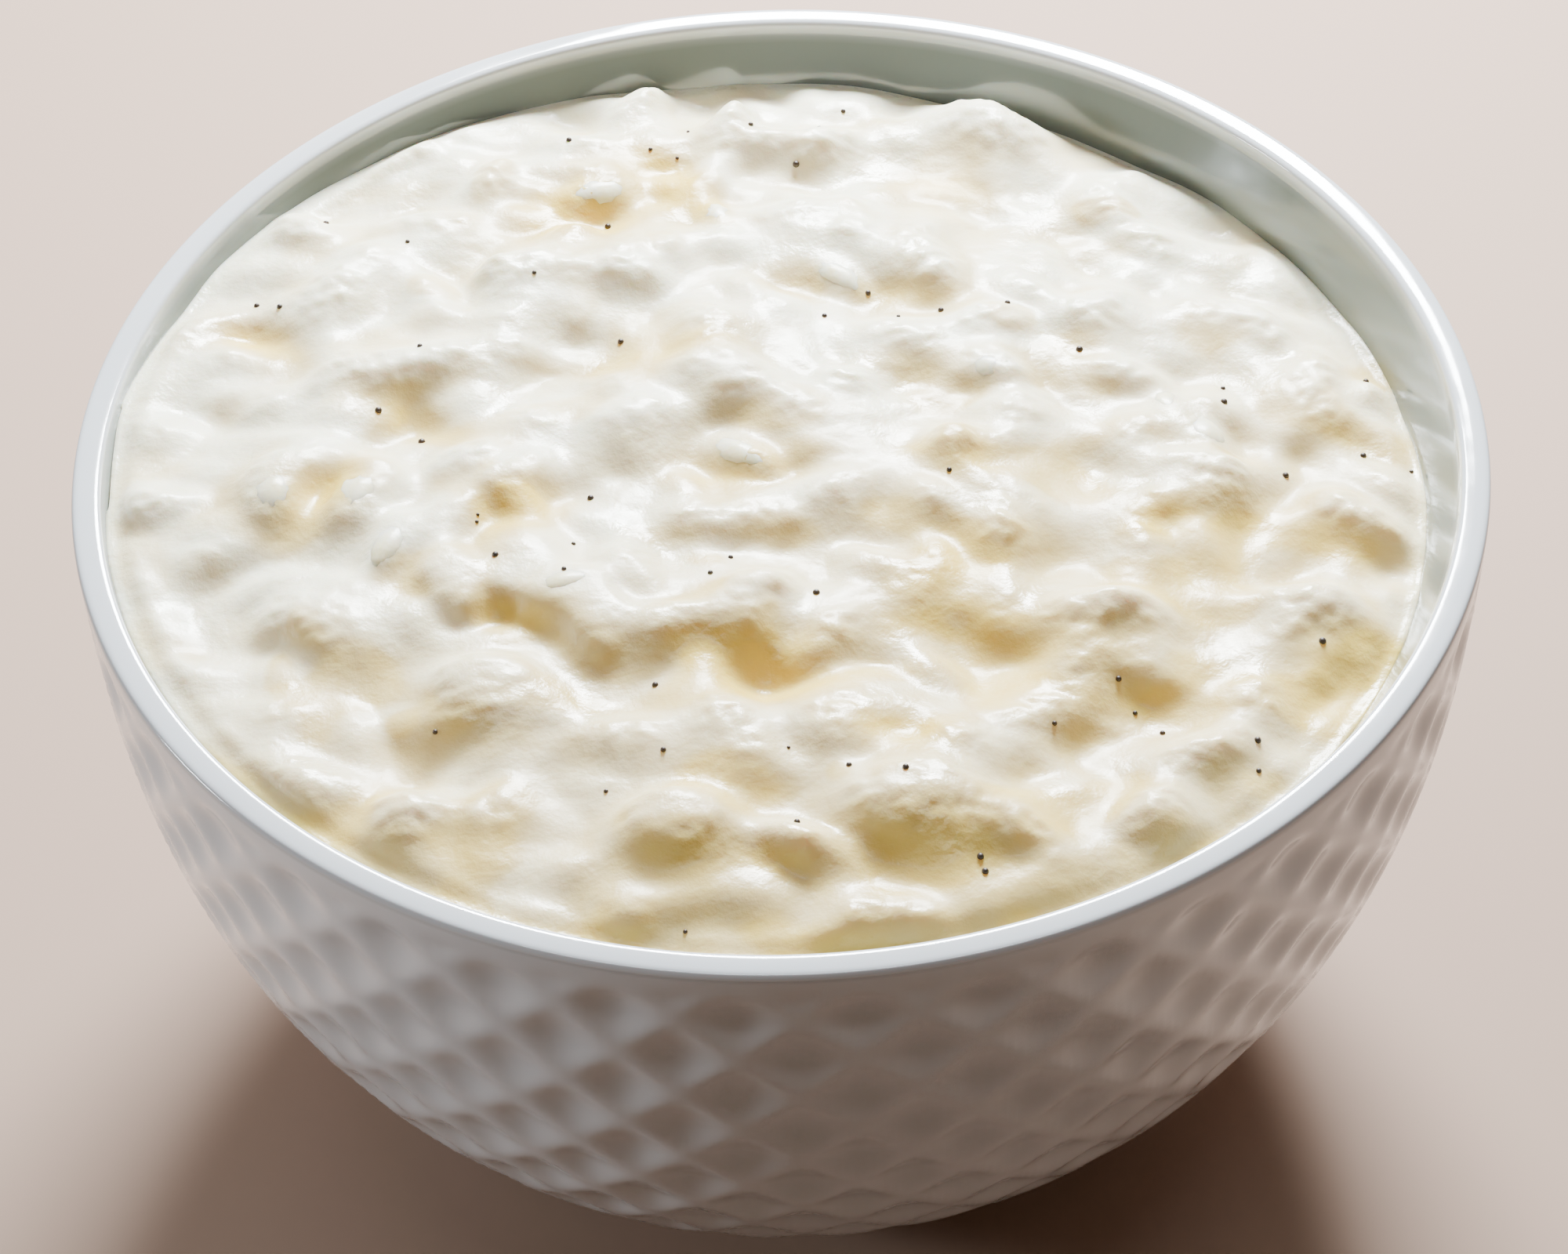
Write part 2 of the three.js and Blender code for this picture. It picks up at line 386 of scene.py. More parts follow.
@dataclass(frozen=True)
class PorcelainFinish(Finish):
    """White glaze with painted shade, a little darker in the pressed hollows and much darker and greener
    over the inside, and bare porcelain under the foot.
    """

    name: str = "glazed_porcelain"
    glaze: tuple = (0.63, 0.65, 0.68)
    # Painted shade: the pressed diamond hollows are coloured darker than the glaze.
    hollow_shade: tuple = (0.53, 0.55, 0.58)
    # Painted shade: the inside wall is coloured far darker and greener than the glaze.
    inside_shade: tuple = (0.175, 0.198, 0.178)
    bare: tuple = (0.72, 0.69, 0.64)
    cloud_size: float = 22.0
    smear_size: float = 9.0
    glossy: float = 0.07
    smeared: float = 0.15
    lining_dulled: float = 0.02
    bare_rough: float = 0.75
    peel_size: float = 5.0
    peel_depth: float = 0.035
    grit_size: float = 0.4
    grit_depth: float = 0.05

    def sockets(self, graph: ShaderGraph) -> dict[str, object]:
        """What feeds the shader's sockets.

        Args:
            graph: The material's graph.

        Returns:
            Sockets and constants by the shader's input, with _ for a space.
        """
        hollow, bisque, inside = (graph.mark(mark) for mark in (Mark.HOLLOW, Mark.BISQUE, Mark.INSIDE))
        clouds = graph.patches(graph.noise(self.cloud_size), 0.5, 1.0, 0.2)
        # Painted shade: the glaze darkens in the diamond hollows, unevenly by clouds.
        outside = graph.between(graph.math("MULTIPLY", hollow, clouds), self.glaze, self.hollow_shade)
        # Painted shade over the inside, wherever the inside mark is set.
        shaded_glaze = graph.between(inside, outside, self.inside_shade)
        sheen = graph.remap(graph.noise(self.smear_size), 0.35, 0.7, self.glossy, self.smeared)
        lined = graph.math("MULTIPLY_ADD", inside, self.lining_dulled, sheen)
        rough = graph.math("MAXIMUM", lined, graph.math("MULTIPLY", bisque, self.bare_rough))
        peel = graph.bump(graph.noise(self.peel_size, 1.0), self.peel_depth)
        grains = graph.math("MULTIPLY", bisque, graph.noise(self.grit_size))
        grit = graph.bump(grains, self.grit_depth, peel)
        return {"Base_Color": graph.between(bisque, shaded_glaze, self.bare), "Roughness": rough, "Normal": grit,
                "IOR": 1.52, "Coat_Weight": 0.2, "Coat_Roughness": 0.04,
                "Subsurface_Weight": 0.08, "Subsurface_Scale": 1.5 * MM}


@dataclass(frozen=True)
class CreamFinish(Finish):
    """Thick cooked cream: white where it stands, with painted shade in custard and honey colours over
    hollows, slopes turned from the light and the front, and a yellower tint over bare grains.
    """

    name: str = "cooked_cream"
    white: tuple = (0.945, 0.88, 0.665)
    # Painted shade: custard and honey colour the cream where the warmth mark paints shade.
    custard_shade: tuple = (0.75, 0.58, 0.26)
    honey_shade: tuple = (0.80, 0.57, 0.13)
    cloud_size: float = 6.0
    clouding: float = 0.10
    patch_size: float = 2.0
    dull: float = 0.56
    glossy: float = 0.40
    wet_gloss: float = 0.16
    ripple_size: float = 1.1
    ripple_depth: float = 0.11
    fine_size: float = 0.35
    fine_depth: float = 0.02

    def sockets(self, graph: ShaderGraph) -> dict[str, object]:
        """What feeds the shader's sockets.

        Args:
            graph: The material's graph.

        Returns:
            Sockets and constants by the shader's input, with _ for a space.
        """
        warmth_and_shade, wet = graph.mark(Mark.WARMTH_AND_SHADE), graph.mark(Mark.WETNESS)
        clouds = graph.patches(graph.noise(self.cloud_size, 4.0), -self.clouding, self.clouding, 0.2)
        amount = graph.math("ADD", warmth_and_shade, clouds)
        pale = graph.between(graph.remap(amount, 0.0, 0.5, 0.0, 1.0), self.white, self.custard_shade)
        colour = graph.between(graph.remap(amount, 0.5, 1.0, 0.0, 1.0), pale, self.honey_shade)
        patch = graph.patches(graph.noise(self.patch_size), self.dull, self.glossy)
        rough = graph.math("SUBTRACT", patch, graph.math("MULTIPLY", wet, self.wet_gloss))
        wetter = graph.math("MULTIPLY_ADD", wet, 0.8, 0.5)
        ripples = graph.math("MULTIPLY", graph.noise(self.ripple_size), wetter)
        ripple = graph.bump(ripples, self.ripple_depth)
        fine = graph.bump(graph.noise(self.fine_size, 2.0), self.fine_depth, ripple)
        return {"Base_Color": colour, "Roughness": rough, "Normal": fine, "IOR": 1.45,
                "Coat_Weight": 0.10, "Coat_Roughness": 0.10, "Subsurface_Weight": 0.5,
                "Subsurface_Radius": (1.0, 0.66, 0.32), "Subsurface_Scale": 1.8 * MM}


@dataclass(frozen=True)
class GrainFinish(Finish):
    """Cooked rice: pale, soft and see-through enough to glow."""

    name: str = "cooked_rice"
    tip: tuple = (0.92, 0.85, 0.66)
    core: tuple = (0.88, 0.77, 0.48)
    cloud_size: float = 2.6
    patch_size: float = 1.5
    glossy: float = 0.32
    dull: float = 0.46
    ripple_size: float = 0.9
    ripple_depth: float = 0.05

    def sockets(self, graph: ShaderGraph) -> dict[str, object]:
        """What feeds the shader's sockets.

        Args:
            graph: The material's graph.

        Returns:
            Sockets and constants by the shader's input, with _ for a space.
        """
        clouds = graph.patches(graph.noise(self.cloud_size), 0.0, 1.0)
        rough = graph.patches(graph.noise(self.patch_size), self.glossy, self.dull)
        ripple = graph.bump(graph.noise(self.ripple_size, 2.0), self.ripple_depth)
        return {"Base_Color": graph.between(clouds, self.tip, self.core), "Roughness": rough,
                "Normal": ripple, "IOR": 1.42, "Coat_Weight": 0.1, "Coat_Roughness": 0.12,
                "Subsurface_Weight": 0.6, "Subsurface_Radius": (1.0, 0.70, 0.36),
                "Subsurface_Scale": 1.5 * MM}


@dataclass(frozen=True)
class VanillaFinish(Finish):
    """Vanilla seeds: nearly black, brown where the light catches them."""

    name: str = "vanilla_seed"
    dark: tuple = (0.012, 0.008, 0.006)
    brown: tuple = (0.07, 0.04, 0.022)
    patch_size: float = 8.0
    pit_size: float = 0.15
    pit_depth: float = 0.02

    def sockets(self, graph: ShaderGraph) -> dict[str, object]:
        """What feeds the shader's sockets.

        Args:
            graph: The material's graph.

        Returns:
            Sockets and constants by the shader's input, with _ for a space.
        """
        colour = graph.between(graph.noise(self.patch_size), self.dark, self.brown)
        pits = graph.bump(graph.noise(self.pit_size), self.pit_depth)
        return {"Base_Color": colour, "Roughness": 0.45, "Normal": pits, "IOR": 1.5}


@dataclass(frozen=True)
class FloorFinish(Finish):
    """Plain pale studio floor."""

    name: str = "studio_floor"
    pale: tuple = (0.36, 0.245, 0.185)
    lighter: float = 1.04
    cloud_size: float = 160.0

    def sockets(self, graph: ShaderGraph) -> dict[str, object]:
        """What feeds the shader's sockets.

        Args:
            graph: The material's graph.

        Returns:
            Sockets and constants by the shader's input, with _ for a space.
        """
        light = tuple(self.lighter * part for part in self.pale)
        return {"Base_Color": graph.between(graph.noise(self.cloud_size), self.pale, light),
                "Roughness": 0.8}


# ---------------------------------------------------------------- bowl


@dataclass
class BowlProfile:
    """The bowl's sizes in millimetres; depths are counted down from the rim level."""

    rim_radius: float = 60.0
    rim_height: float = 67.0
    lip_wall: float = 2.5
    wall: float = 5.0
    wall_full: float = 6.2
    bend: float = 0.10
    profile_depth: float = 74.5
    profile_power: float = 2.48
    lip_drop: float = 0.9
    lip_rise: float = 0.95
    lip_roundness: float = 0.5
    outside_end: float = 61.2
    foot_radius: float = 30.3
    foot_width: float = 3.9
    foot_edge: float = 0.7
    foot_rise: float = 2.5
    foot_flare: float = 0.35
    neck_out: float = 0.5
    neck_up: float = 1.3
    recess_height: float = 2.8
    recess_sag: float = 0.25
    recess_corner: float = 1.2
    floor_depth: float = 60.6
    wall_end: float = 62.0
    slope_step: float = 0.01
    stations: int = 400

    def outer_radius(self, depth: Array | float) -> Array | float:
        """Radius of the outside at a depth."""
        share = (np.maximum(depth, 0.0) / self.profile_depth) ** self.profile_power
        return self.rim_radius * np.sqrt(1.0 - share)

    def wall_at(self, depth: Array | float) -> Array:
        """Thickness at a depth: thin at the lip, full from wall_full down, with a soft bend between.

        Args:
            depth: Depths below the rim.

        Returns:
            The thickness at each.
        """
        share = (np.asarray(depth) - self.lip_drop) / (self.wall_full - self.lip_drop)
        eased = -self.bend * np.log(np.exp(-share / self.bend) + np.exp(-1.0 / self.bend))
        return self.lip_wall + (self.wall - self.lip_wall) * eased

    def inside_point(self, depth: Array | float) -> tuple[Array, Array]:
        """The inside point square to the outside at a depth, as its radius and height.

        Args:
            depth: Depths below the rim.

        Returns:
            The radius and the height of each point.
        """
        wall, step = self.wall_at(depth), self.slope_step
        slope = (self.outer_radius(depth + step) - self.outer_radius(depth - step)) / (2 * step)
        length = np.hypot(1.0, slope)
        return self.outer_radius(depth) - wall / length, self.rim_height - depth - wall * slope / length

    def wall_radius(self, height: Array | float) -> Array:
        """Radius of the inside wall at a height.

        Args:
            height: Heights above the table.

        Returns:
            The radius at each.
        """
        depths = np.linspace(self.wall_end, self.lip_drop, self.stations)
        radii, heights = self.inside_point(depths)
        return np.interp(height, heights, radii)


@dataclass
class Bowl:
    """Porcelain bowl: a turned body with a rounded lip and foot, pressed with soft diamond hollows."""

    profile: BowlProfile
    finish: PorcelainFinish = field(default_factory=PorcelainFinish)
    diamonds: int = 40
    first_row: float = 5.4
    row_pitch: float = 5.0
    hollow_depth: float = 0.95
    ridge_softness: float = 0.18
    samples_per_diamond: int = 11
    relief_starts: tuple = (1.6, 4.4)
    relief_ends: tuple = (61.0, 57.5)
    # Where the painted shade of the inside stops, fading out below the lip.
    inside_shade_top: float = 67.3
    inside_shade_fade: float = 2.2
    bare_ring: tuple = (25.0, 31.0)
    bare_height: float = 0.5
    step_down: float = 0.52
    recess_rings: tuple = (2.0, 8.0, 15.0, 21.0, 24.8)
    floor_rings: tuple = (28.0, 22.0, 14.0, 6.0)

    def foot_points(self) -> list[tuple]:
        """Radius and height along the underside, round the foot ring and up to the outside.

        Returns:
            The points in order.
        """
        p = self.profile
        inner, high = p.foot_radius - p.foot_width, p.recess_height
        sag, corner, edge = p.recess_sag, p.recess_corner, p.foot_edge
        turns = [(math.sin(t), math.cos(t)) for t in np.linspace(0.0, math.pi / 2, 5)]
        points = [(r, high - sag * (r / inner) ** 2) for r in self.recess_rings]
        points += [(inner - corner + corner * s, high - corner + (corner - sag) * c) for s, c in turns]
        points += [(inner + edge - edge * c, edge - edge * s) for s, c in turns]
        points += [(p.foot_radius - edge + edge * s, edge - edge * c) for s, c in turns]
        top = (p.foot_radius + p.foot_flare, p.foot_rise)
        neck = (top[0] + p.neck_out, top[1] + p.neck_up)
        join = (p.outer_radius(p.outside_end), p.rim_height - p.outside_end)
        for t in np.linspace(0.0, 1.0, 8):
            weights = ((1 - t) ** 2, 2 * t * (1 - t), t * t)
            points.append(tuple(np.dot(weights, (top, neck, join))))
        return points

    def lip_points(self) -> list[tuple]:
        """Radius and height over the lip, from the outside to the inside.

        Returns:
            The points in order.
        """
        p = self.profile
        half, points = p.lip_wall / 2, []
        for t in np.linspace(0.0, math.pi, 19):
            out = math.copysign(abs(math.cos(t)) ** p.lip_roundness, math.cos(t))
            up = math.sin(t) ** p.lip_roundness
            points.append((p.rim_radius - half + half * out, p.rim_height - p.lip_drop + p.lip_rise * up))
        return points

    def inside_points(self) -> list[tuple]:
        """Radius and height from under the lip down the inside wall and along the floor.

        Returns:
            The points in order.
        """
        p = self.profile
        near_lip = np.arange(p.lip_drop + 0.5, 9.0, 0.5)
        wall = [p.inside_point(depth) for depth in (*near_lip, *np.linspace(9.5, p.wall_end, 26))]
        (reach, start), middle = wall[-1], p.rim_height - p.floor_depth
        return wall + [(r, middle + (start - middle) * (r / reach) ** 2) for r in self.floor_rings]

    def outline(self) -> tuple[Array, Array, Array, Array]:
        """The turned outline, from under the foot, up the outside, over the lip and down to the floor.

        Returns:
            Radii, heights, which points take the pressed relief, and which lie past the outside.
        """
        p = self.profile
        foot = self.foot_points()
        depths = np.arange(p.outside_end - self.step_down, p.lip_drop + 0.2, -self.step_down)
        outside = [(p.outer_radius(depth), p.rim_height - depth) for depth in depths]
        points = np.array(foot + outside + self.lip_points() + self.inside_points(), float)
        row, lip = np.arange(len(points)), len(foot) + len(outside)
        return points[:, 0], points[:, 1], (row >= len(foot)) & (row < lip), row > lip

    def turned_mesh(self) -> bpy.types.Object:
        """The plain turned body, with the marks that the relief follows.

        Returns:
            The body before it is pressed.
        """
        radii, heights, takes, inward = self.outline()
        count = self.diamonds * self.samples_per_diamond
        turns = np.arange(count) * (2 * math.pi / count)
        angle, radius = np.meshgrid(FRONT + turns, radii)
        height = np.repeat(heights[:, None], count, 1)
        depth = self.profile.rim_height - height
        points = np.stack([radius * np.cos(angle), radius * np.sin(angle), height], -1).reshape(-1, 3)
        fade = smoothstep(*self.relief_starts, depth) * smoothstep(*self.relief_ends, depth)
        fade = fade * takes[:, None]
        around = np.tile(turns * self.diamonds / (2 * math.pi) + 0.5, (len(radii), 1))
        down = (depth - self.first_row) / (2 * self.row_pitch)
        on_ring = (radius > self.bare_ring[0]) & (radius < self.bare_ring[1])
        bisque = smoothstep(self.bare_height, 0.1, height) * on_ring
        faces = self.ring_faces(len(radii), count)
        low, high = len(points), len(points) + 1
        p = self.profile
        points = np.vstack([points, [[0, 0, p.recess_height], [0, 0, p.rim_height - p.floor_depth]]])
        last = (len(radii) - 1) * count
        for i in range(count):
            j = (i + 1) % count
            faces.append((low, j, i))
            faces.append((last + i, last + j, high))
        # The inside mark carries painted shade into the glaze colour and a duller gloss.
        lined = inward[:, None] * smoothstep(self.inside_shade_top, self.inside_shade_top - self.inside_shade_fade, height)
        marks = {Mark.AROUND: around, Mark.DOWN: down, Mark.RELIEF: fade, Mark.BISQUE: bisque,
                 Mark.INSIDE: lined}
        marks = {mark: np.append(values.ravel(), [0.0, 0.0]) for mark, values in marks.items()}
        return mesh_piece("porcelain_bowl", points, faces, marks)

    def ring_faces(self, rings: int, count: int) -> list[tuple[int, int, int, int]]:
        """Quads between neighbouring rings of the same count.

        Args:
            rings: How many rings.
            count: Points on each.

        Returns:
            The faces.
        """
        faces = []
        for ring in range(rings - 1):
            a, b = ring * count, (ring + 1) * count
            faces += [(a + i, a + (i + 1) % count, b + (i + 1) % count, b + i) for i in range(count)]
        return faces

    def press_tree(self) -> bpy.types.NodeTree:
        """The node tree that presses the diamond hollows into the body.

        Returns:
            A tree with inputs for the hollows' depth, the ridges' softness and the finish.
        """
        inputs = {"Hollow Depth": "Float", "Ridge Softness": "Float", "Finish": "Material"}
        tree = node_tree("press_diamonds", inputs)
        graph = NodeGraph(tree)
        body, depth, soft, finish = graph.node("NodeGroupInput").outputs[:4]

        def bank(place: Socket) -> Socket:
            """How far from the ridge lines of one direction a place lies, rounded on the ridge.

            Args:
                place: The place across those lines, in diamonds.

            Returns:
                0 on a ridge line, and a little under 1 midway between two.
            """
            wave = graph.math("COSINE", graph.math("MULTIPLY", place, math.pi))
            square = graph.math("MULTIPLY_ADD", wave, wave, graph.math("MULTIPLY", soft, soft))
            return graph.math("SUBTRACT", graph.math("SQRT", square), soft)

        around, down = graph.field(Mark.AROUND), graph.field(Mark.DOWN)
        crossing = [bank(graph.math(way, around, down)) for way in ("ADD", "SUBTRACT")]
        hollow = graph.math("MULTIPLY", graph.math("MULTIPLY", *crossing), graph.field(Mark.RELIEF))
        inward = graph.math("MULTIPLY", graph.math("MULTIPLY", hollow, depth), -1.0)
        normal = graph.node("GeometryNodeInputNormal")
        push = graph.node("ShaderNodeVectorMath", {"operation": "SCALE"}, Vector=normal, Scale=inward)
        # The stored hollow mark also carries the painted shade of the hollows into the glaze colour.
        stored = graph.node("GeometryNodeStoreNamedAttribute", {"data_type": "FLOAT", "domain": "POINT"},
                            Geometry=body, Name=Mark.HOLLOW.value, Value=hollow)
        graph.give_out(graph.node("GeometryNodeSetPosition", Geometry=stored, Offset=push), finish)
        return tree

    def build(self) -> bpy.types.Object:
        """Makes the bowl and puts it in the frame.

        Returns:
            The finished piece.
        """
        piece = self.turned_mesh()
        values = {"Hollow Depth": self.hollow_depth * MM, "Ridge Softness": self.ridge_softness,
                  "Finish": self.finish.material()}
        piece = grown(piece, self.press_tree(), values)
        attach(piece, "root")
        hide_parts("bowl")
        return piece


def grown(piece: bpy.types.Object, tree: bpy.types.NodeTree, values: dict[str, object]) -> bpy.types.Object:
    """Runs a geometry node tree on a piece and keeps the result as its plain mesh.

    Args:
        piece: The piece that the tree starts from.
        tree: The node tree.
        values: The tree's inputs by name.

    Returns:
        The same piece with its new mesh and no modifier.
    """
    modifier = piece.modifiers.new(tree.name, "NODES")
    modifier.node_group = tree
    for item in tree.interface.items_tree:
        if item.item_type == "SOCKET" and item.in_out == "INPUT" and item.name in values:
            modifier[item.identifier] = values[item.name]
    seen = bpy.context.evaluated_depsgraph_get()
    seen.update()
    old = piece.data
    whole = piece.evaluated_get(seen)
    mesh = bpy.data.meshes.new_from_object(whole, preserve_all_data_layers=True, depsgraph=seen)
    piece.modifiers.remove(modifier)
    piece.data = mesh
    mesh.name = piece.name
    bpy.data.meshes.remove(old)
    return piece


# ---------------------------------------------------------------- pudding


@dataclass(frozen=True)
class Lump:
    """A rounded heap of coated grains, in millimetres; turn is in radians from +X."""

    x: float
    y: float
    length: float
    width: float
    turn: float
    height: float


@dataclass(frozen=True)
class Pit:
    """A hollow, in millimetres, with painted shade from 0 to 1 as its warmth."""

    x: float
    y: float
    length: float
    width: float
    turn: float
    depth: float
    warmth_and_shade: float


@dataclass(frozen=True)
class Fold:
    """A ridge left by the spoon, along part of a turn round the middle; angles in degrees from +X."""

    from_angle: float
    to_angle: float
    from_radius: float
    to_radius: float
    width: float
    height: float


@dataclass(frozen=True)
class Grain:
    """One rice grain: its middle, half sizes, turn, dip and how far it is free of cream."""

    x: float
    y: float
    z: float
    half_length: float
    half_width: float
    turn: float
    dip: float
    bare: float


LUMPS = (
    Lump(11, -43.5, 10.0, 6.2, 0.05, 3.8),
    Lump(-9, -45, 6.6, 5.2, 0.2, 3.8),
    Lump(1, -46.5, 5.5, 2.6, -0.5, 2.6),
    Lump(21, 45, 8.5, 5.5, -0.6, 3.0),
    Lump(14.4, -1.5, 3.8, 3.2, 0.9, 2.6),
    Lump(6, 7.5, 3.4, 2.8, 0.2, 1.8),
    Lump(-1.5, 5.5, 9.0, 4.4, -0.55, 1.9),
    Lump(-2, -18.5, 4.0, 2.6, 0.1, 1.8),
    Lump(26, -21.0, 6.5, 3.4, 0.1, 2.3),
    Lump(43, -19.0, 6.5, 3.4, -0.15, 2.1),
    Lump(-24, -28, 5.5, 2.6, 0.1, 1.3),
    Lump(-40, 20, 6.0, 4.0, 0.8, 1.5),
    Lump(-13, 2, 5.0, 2.8, 0.3, 1.5),
    Lump(33, -36, 5.5, 2.8, 0.5, 1.6),
)

# Pits sink the cream and paint shade into it; the one with no depth is painted shade alone.
PITS = (
    Pit(-17, 33, 6.2, 4.2, 0.3, 1.5, 0.95),
    Pit(-9, 38, 5.0, 1.8, -0.9, 0.3, 0.95),
    Pit(16.5, 37, 3.6, 2.0, -0.3, 1.3, 0.85),
    Pit(-38, -6, 3.4, 2.6, 0.6, 2.2, 1.00),
    Pit(-9.5, 11.5, 5.5, 2.0, 0.1, 0.6, 0.70),
    Pit(-2, -2.5, 5.8, 2.0, 0.1, 2.2, 0.65),
    Pit(-22, -8, 3.6, 2.2, 0.4, 1.2, 0.80),
    Pit(32, -9.5, 2.6, 1.7, 0.2, 1.8, 0.95),
    Pit(10.5, 20.5, 4.0, 1.5, -0.2, 1.0, 0.60),
    Pit(-45, 15, 3.8, 1.8, -0.7, 1.3, 0.75),
    Pit(18, -25, 5.0, 2.6, 0.1, 1.4, 0.55),
    Pit(-1, -27, 4.2, 2.6, 0.2, 1.6, 0.50),
    Pit(14, -16, 4.4, 2.4, 0.6, 1.4, 0.60),
    Pit(9, -35, 2.8, 1.8, 0.0, 1.2, 0.60),
    Pit(14.6, -3, 3.2, 2.4, 0.9, 0.0, 0.55),
    Pit(11, -47, 8.5, 3.4, 0.05, 0.3, 0.30),
    Pit(-8, -48, 5.5, 3.0, 0.2, 0.2, 0.22),
    Pit(46, -26, 4.6, 2.4, 0.3, 0.6, 0.50),
    Pit(-31, 4, 4.0, 1.8, -0.6, 1.1, 0.55),
)

FOLDS = (
    Fold(172, 276, 38.5, 18.5, 2.6, 2.6),
    Fold(-140, -84, 38, 33, 2.6, 1.6),
    Fold(-60, -8, 30, 15, 2.2, 1.4),
    Fold(20, 100, 22, 30, 2.8, 0.9),
    Fold(110, 190, 30, 38, 2.8, 1.0),
)


@dataclass
class StirredSurface:
    """The pudding's top as a height over a fine square raster, in millimetres."""

    profile: BowlProfile
    spacing: float = 0.25
    reach: float = 57.0
    edge_depth: float = 3.3
    tilt: float = 2.7
    low_side: float = math.radians(26)
    mound: float = 2.6
    edge_wobble: float = 0.7
    edge_power: int = 6
    roll: float = 1.0
    roll_power: float = 1.5
    roll_width: float = 2.6
    meniscus: float = 0.5
    meniscus_width: float = 0.7
    calm_near_lumps: float = 0.75
    warp: float = 2.2
    warp_size: float = 13.0
    swirl_pitch: float = 15.0
    swirl_height: float = 0.5
    fold_size: float = 13.0
    fold_height: float = 1.5
    fold_squash: float = 0.75
    fold_gain: float = 0.35
    fold_wander: float = 1.6
    heap_size: float = 8.5
    heap_height: float = 2.7
    heap_squash: float = 0.8
    heap_softness: float = 0.12
    heap_level: float = 0.4
    lump_steepness: float = 0.8
    lump_power: float = 1.8
    lean: float = 0.6
    pit_share: float = 0.75
    grain_count: int = 210
    grain_gap: float = 4.6
    grain_reach: float = 53.0
    half_lengths: tuple = (3.6, 4.9)
    half_widths: tuple = (1.9, 2.7)
    turn_range: float = 2.6
    dip_range: float = 0.5
    least_proud: float = -0.3
    proud_range: float = 1.5
    proud_power: float = 1.3
    calm_place: tuple = (-12.0, -36.0)
    calm_size: tuple = (13.0, 6.0)
    sunk_if_calm: float = 1.8
    sunk_by_lumps: float = 1.6
    bare_share: float = 0.20
    bare_warmth: float = 0.35
    fillet: float = 1.5
    coat: float = 0.75
    streak_height: float = 0.08
    crumb_height: float = 0.24
    # Painted shade: how strongly hollows, slopes turned from the light, broad zones and the front are
    # coloured warmer and darker.
    painted_hollow_shade: float = 0.26
    painted_lee_shade: float = 0.40
    painted_zone_shade: float = 0.42
    painted_front_shade: float = 0.30
    ceiling: float = 67.8
    seed: int = 11

    def __post_init__(self) -> None:
        """Lays out the raster and works the surface up layer by layer."""
        line = np.arange(-self.reach, self.reach + self.spacing / 2, self.spacing)
        self.x, self.y = np.meshgrid(line, line)
        self.radius, self.angle = np.hypot(self.x, self.y), np.arctan2(self.y, self.x)
        self.noise = SmoothNoise(self.seed)
        self.inner = self.edge_radius(self.angle)
        self.inland = smoothstep(0.0, self.roll_width, self.inner - self.radius)
        calmed = [1 - self.calm_near_lumps * np.exp(-0.6 * self.oval(lump)) for lump in LUMPS]
        self.open_ground = np.prod(calmed, axis=0)
        self.height = self.cream()
        # Painted shade in the cream, together with the real tint of bare grains.
        self.warmth_and_shade = np.zeros_like(self.height)
        self.grains = self.scatter_grains()
        self.add_pits()
        self.add_grains()
        self.height = self.blurred(self.height, self.coat)
        self.add_wrinkles()
        self.height -= self.roll * (1 - self.inland) ** self.roll_power
        climb = self.meniscus * smoothstep(0.9, 0.4, np.sin(self.angle))
        self.height += climb * np.exp(-(((self.inner - self.radius) / self.meniscus_width) ** 2))
        over = np.maximum(self.height - self.ceiling, 0.0)
        self.height = np.minimum(self.height, self.ceiling) + 1 - np.exp(-over)
        self.add_shade_marks()

    def clouds(self, size: float, shift: tuple = (0.0, 0.0), squash: float = 1.0) -> Array:
        """Seeded noise over the raster, its patches about as wide as the size and squashed in y."""
        return self.noise.at(self.x / size + shift[0], self.y / (squash * size) + shift[1])

    def edge_height(self, angle: Array) -> Array:
        """Height of the line where the pudding meets the wall.

        Args:
            angle: Turns round the axis, in radians.

        Returns:
            The height at each.
        """
        wobble = self.edge_wobble * self.noise.at(4.1 * np.cos(angle) + 40, 4.1 * np.sin(angle) + 40)
        tilt = self.tilt * np.cos(angle - self.low_side)
        return self.profile.rim_height - self.edge_depth - tilt - self.roll + wobble

    def edge_radius(self, angle: Array) -> Array:
        """Radius of the line where the pudding meets the wall."""
        return self.profile.wall_radius(self.edge_height(angle))

    def blurred(self, values: Array, width: float) -> Array:
        """The raster smoothed by a bell curve of that width in millimetres.

        Args:
            values: The raster.
            width: The bell curve's spread.

        Returns:
            The smoothed raster.
        """
        pad = 40
        wide = np.pad(values, pad, mode="edge")
        fy, fx = np.fft.fftfreq(wide.shape[0])[:, None], np.fft.rfftfreq(wide.shape[1])[None, :]
        bell = np.exp(-2 * (math.pi * width / self.spacing) ** 2 * (fx * fx + fy * fy))
        return np.fft.irfft2(np.fft.rfft2(wide) * bell, s=wide.shape)[pad:-pad, pad:-pad]

    def oval(self, shape: Lump | Pit) -> Array:
        """Squared distance from an oval's middle, 1 on its border.

        Args:
            shape: The lump or pit that the oval belongs to.

        Returns:
            The squared distance over the raster.
        """
        dx, dy = self.x - shape.x, self.y - shape.y
        c, s = math.cos(shape.turn), math.sin(shape.turn)
        return ((c * dx + s * dy) / shape.length) ** 2 + ((c * dy - s * dx) / shape.width) ** 2

